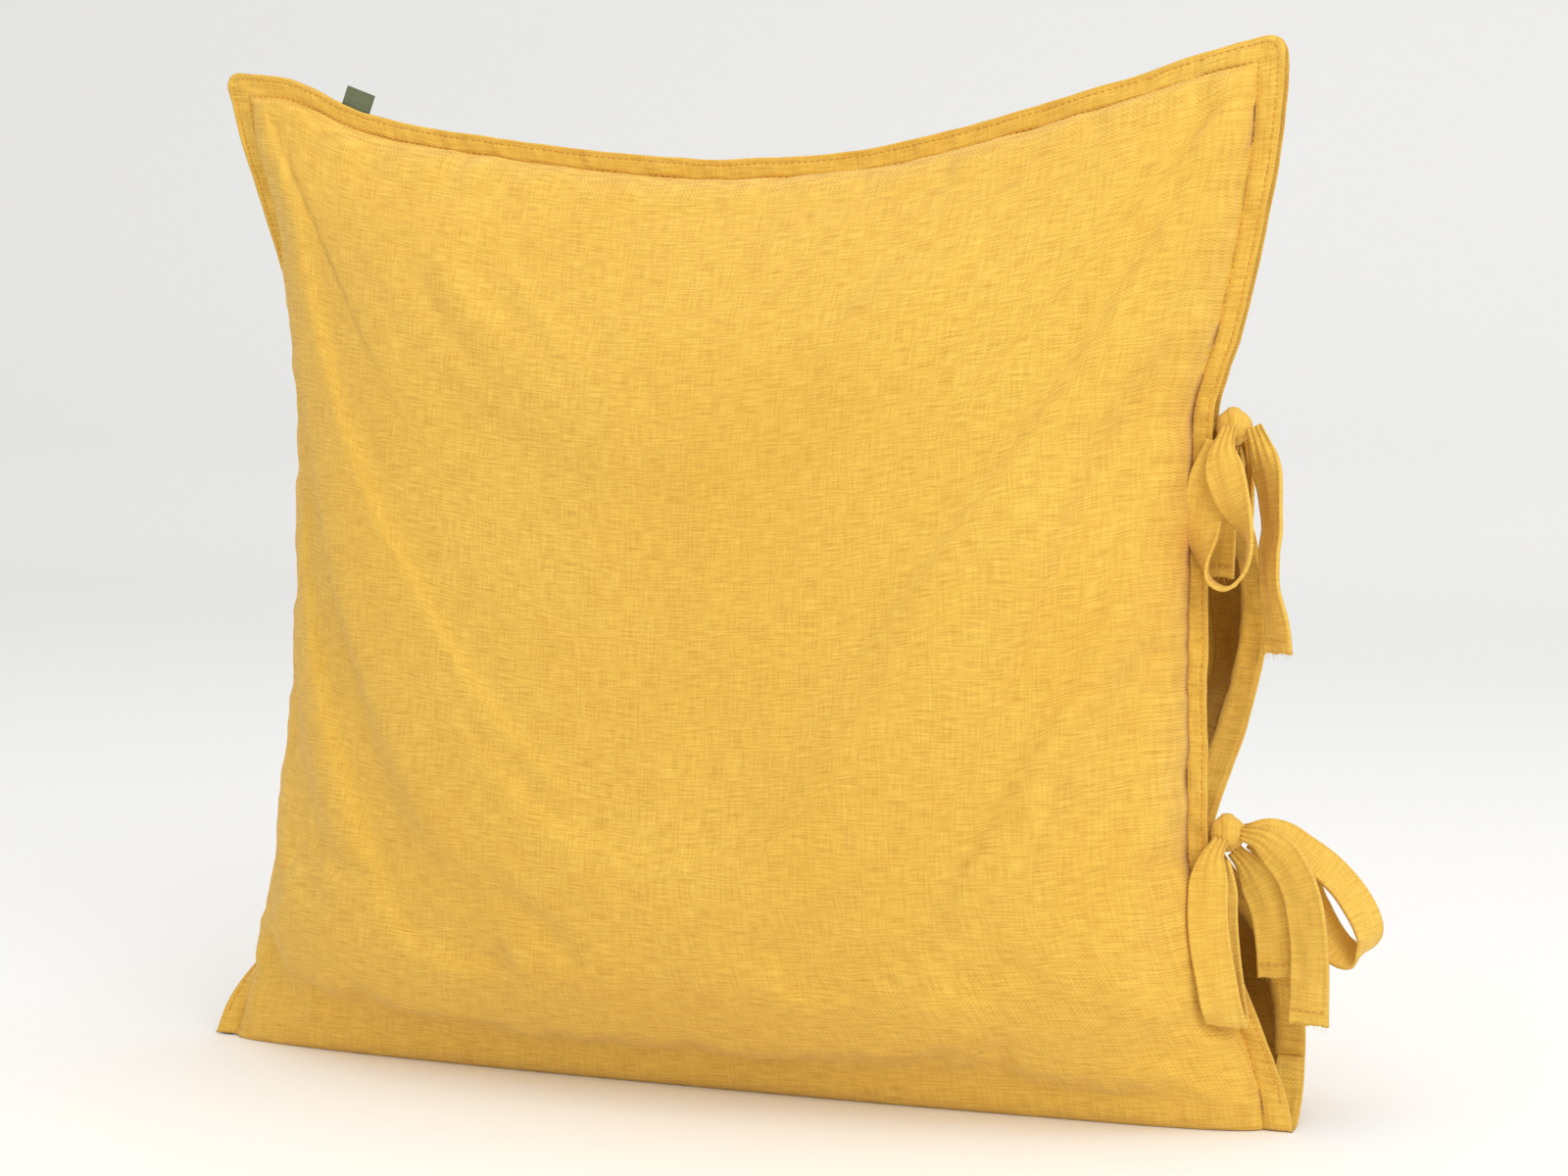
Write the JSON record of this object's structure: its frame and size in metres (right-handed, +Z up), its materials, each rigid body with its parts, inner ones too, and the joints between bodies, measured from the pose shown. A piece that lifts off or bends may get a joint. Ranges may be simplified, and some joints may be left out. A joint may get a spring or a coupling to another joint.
{
  "type": "floor cushion",
  "caption": "Square stuffed floor cushion standing on edge, with a stitched hem, an open side closed by two tied bows and a removable insert.",
  "frame": {"origin": "middle of the flattened base, on the floor", "axes": "+Z up, +X towards the open side with the ties, +Y from the front panel to the back panel"},
  "size_m": [0.6549, 0.2209, 0.5331],
  "materials": {
    "linen": "matte plain-weave washed linen",
    "linen_inside": "matte plain-weave linen, inner side",
    "thread": "matte spun thread",
    "ribbon": "matte plain-weave linen tie",
    "ticking": "matte cotton cambric",
    "fibre": "soft matte fibre fill",
    "label": "woven tape, blank"
  },
  "bodies": {
    "cover": {"front_panel": "linen", "back_panel": "linen", "front_mouth_facing": "linen_inside", "back_mouth_facing": "linen_inside", "front_topstitch_outer": "thread", "front_topstitch_inner": "thread", "back_topstitch_outer": "thread", "back_topstitch_inner": "thread", "upper_knot": "ribbon", "upper_front_tie_lead": "ribbon", "upper_back_tie_lead": "ribbon", "lower_knot": "ribbon", "lower_front_tie_lead": "ribbon", "lower_back_tie_lead": "ribbon"},
    "insert": {"insert_front_ticking": "ticking", "insert_back_ticking": "ticking", "insert_filling": "fibre"},
    "label": {"woven_label": "label"},
    "upper_front_loop": {"upper_front_loop": "ribbon"},
    "upper_back_loop": {"upper_back_loop": "ribbon"},
    "upper_right_tail": {"upper_right_tail": "ribbon", "upper_right_tail_hem": "thread"},
    "upper_back_tail": {"upper_back_tail": "ribbon", "upper_back_tail_hem": "thread"},
    "lower_front_loop": {"lower_front_loop": "ribbon"},
    "lower_right_loop": {"lower_right_loop": "ribbon"},
    "lower_middle_tail": {"lower_middle_tail": "ribbon", "lower_middle_tail_hem": "thread"},
    "lower_back_tail": {"lower_back_tail": "ribbon", "lower_back_tail_hem": "thread"}
  },
  "joints": [
    {"name": "insert_pull_out", "type": "slide", "parent": "cover", "child": "insert", "axis": [1, 0, 0], "range_m": [0, 0.62], "deforming": ["insert_front_ticking", "insert_back_ticking", "insert_filling"]},
    {"name": "upper_front_loop_swing", "type": "hinge", "parent": "cover", "child": "upper_front_loop", "pos_m": [0.27395, -0.0155, 0.348], "axis": [-1, 0, 0], "range_deg": [0, 65]},
    {"name": "upper_back_loop_swing", "type": "hinge", "parent": "cover", "child": "upper_back_loop", "pos_m": [0.27395, -0.0155, 0.348], "axis": [1, 0, 0], "range_deg": [0, 60]},
    {"name": "upper_right_tail_swing", "type": "hinge", "parent": "cover", "child": "upper_right_tail", "pos_m": [0.27395, -0.0155, 0.348], "axis": [0, -1, 0], "range_deg": [0, 60]},
    {"name": "upper_back_tail_swing", "type": "hinge", "parent": "cover", "child": "upper_back_tail", "pos_m": [0.27395, -0.0155, 0.348], "axis": [0, -1, 0], "range_deg": [0, 80]},
    {"name": "lower_front_loop_swing", "type": "hinge", "parent": "cover", "child": "lower_front_loop", "pos_m": [0.27299, -0.0155, 0.147], "axis": [-1, 0, 0], "range_deg": [0, 65]},
    {"name": "lower_right_loop_swing", "type": "hinge", "parent": "cover", "child": "lower_right_loop", "pos_m": [0.27299, -0.0155, 0.147], "axis": [0, -1, 0], "range_deg": [0, 40]},
    {"name": "lower_middle_tail_swing", "type": "hinge", "parent": "cover", "child": "lower_middle_tail", "pos_m": [0.27299, -0.0155, 0.147], "axis": [0, -1, 0], "range_deg": [0, 60]},
    {"name": "lower_back_tail_swing", "type": "hinge", "parent": "cover", "child": "lower_back_tail", "pos_m": [0.27299, -0.0155, 0.147], "axis": [0, -1, 0], "range_deg": [0, 50]},
    {"name": "label_fold", "type": "hinge", "parent": "cover", "child": "label", "pos_m": [-0.21288, -0.015, 0.51577], "axis": [0.9798, 0, -0.1998], "range_deg": [-55, 55]}
  ]
}
